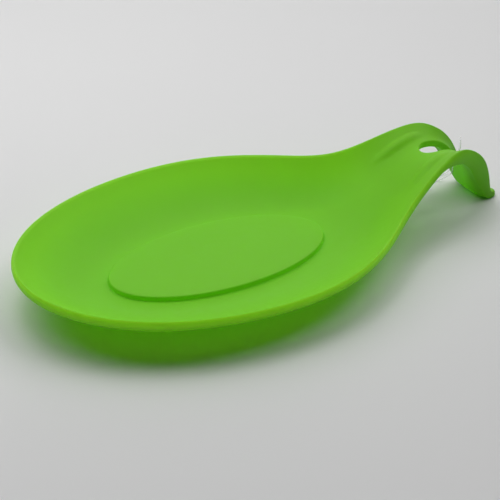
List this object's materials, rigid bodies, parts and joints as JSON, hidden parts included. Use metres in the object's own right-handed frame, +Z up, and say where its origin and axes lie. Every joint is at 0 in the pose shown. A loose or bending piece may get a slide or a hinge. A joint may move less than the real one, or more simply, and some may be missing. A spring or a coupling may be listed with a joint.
{
  "type": "spoon rest",
  "caption": "Oval silicone spoon rest with a raised pad in its bowl and a channelled handle that curls down to a foot, slotted for hanging, with a clear tag loop.",
  "frame": {"origin": "middle of the body's length and width, on the table", "axes": "+X from the bowl's tip to the foot of the handle, +Y to the left of the handle, +Z up"},
  "size_m": [0.1914, 0.1052, 0.0278],
  "materials": {
    "green_silicone": "matte",
    "clear_nylon": "clear"
  },
  "bodies": {
    "root": {"silicone_body": "green_silicone", "tag_loop": "clear_nylon", "tag_loop_clasp": "clear_nylon"}
  },
  "joints": []
}
